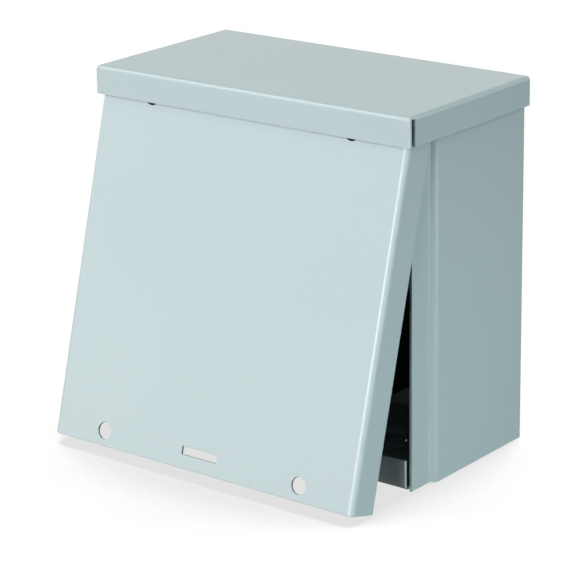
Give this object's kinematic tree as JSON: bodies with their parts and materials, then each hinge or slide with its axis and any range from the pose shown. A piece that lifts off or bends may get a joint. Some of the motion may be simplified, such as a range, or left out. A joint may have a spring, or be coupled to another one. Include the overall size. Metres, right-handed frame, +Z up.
{
  "type": "ac disconnect box",
  "caption": "Rainproof sheet-steel disconnect enclosure with a drip hood, a slip-on tilting cover and a pull-out switch unit inside.",
  "frame": {"origin": "centre of the back face, on the wall plane, halfway up the box", "axes": "+Y into the wall, the cover faces -Y, +Z up, +X to the right of someone facing the cover"},
  "size_m": [0.208, 0.1567, 0.2032],
  "materials": {
    "enclosure_paint": "satin powder coat, pale blue-grey",
    "zinc_steel": "zinc plated",
    "copper": "bare copper",
    "aluminium": "as machined",
    "black_plastic": "moulded, matt",
    "grey_plastic": "moulded, matt",
    "green_steel": "green dyed screw"
  },
  "bodies": {
    "box": {"body_shell": "enclosure_paint", "bottom_panel": "enclosure_paint", "drip_hood": "enclosure_paint", "padlock_staple": "zinc_steel", "lip_nut_left": "zinc_steel", "lip_nut_right": "zinc_steel", "cover_screw_left": "zinc_steel", "cover_screw_right": "zinc_steel", "disconnect_base": "black_plastic", "base_screw_left": "zinc_steel", "base_screw_right": "zinc_steel", "line_contact_left": "copper", "line_contact_right": "copper", "load_contact_left": "copper", "load_contact_right": "copper", "line_lug_left": "aluminium", "line_lug_right": "aluminium", "load_lug_left": "aluminium", "load_lug_right": "aluminium", "line_lug_screw_left": "zinc_steel", "line_lug_screw_right": "zinc_steel", "load_lug_screw_left": "zinc_steel", "load_lug_screw_right": "zinc_steel", "dead_front": "grey_plastic", "barrier_screw_upper": "zinc_steel", "barrier_screw_lower": "zinc_steel", "ground_bar": "aluminium", "ground_screw_1": "zinc_steel", "ground_screw_2": "zinc_steel", "ground_screw_3": "zinc_steel", "ground_screw_4": "zinc_steel", "bonding_screw": "green_steel"},
    "cover": {"front_cover": "enclosure_paint"},
    "pullout": {"pullout_head": "black_plastic", "pullout_blade_left": "copper", "pullout_blade_right": "copper"}
  },
  "joints": [
    {"name": "cover_tilt", "type": "hinge", "parent": "box", "child": "cover", "pos_m": [0, -0.1094, 0.0996], "axis": [1, 0, 0], "range_deg": [0, 15.33]},
    {"name": "pullout_slide", "type": "slide", "parent": "box", "child": "pullout", "axis": [0, -1, 0], "range_m": [0, 0.02]}
  ]
}
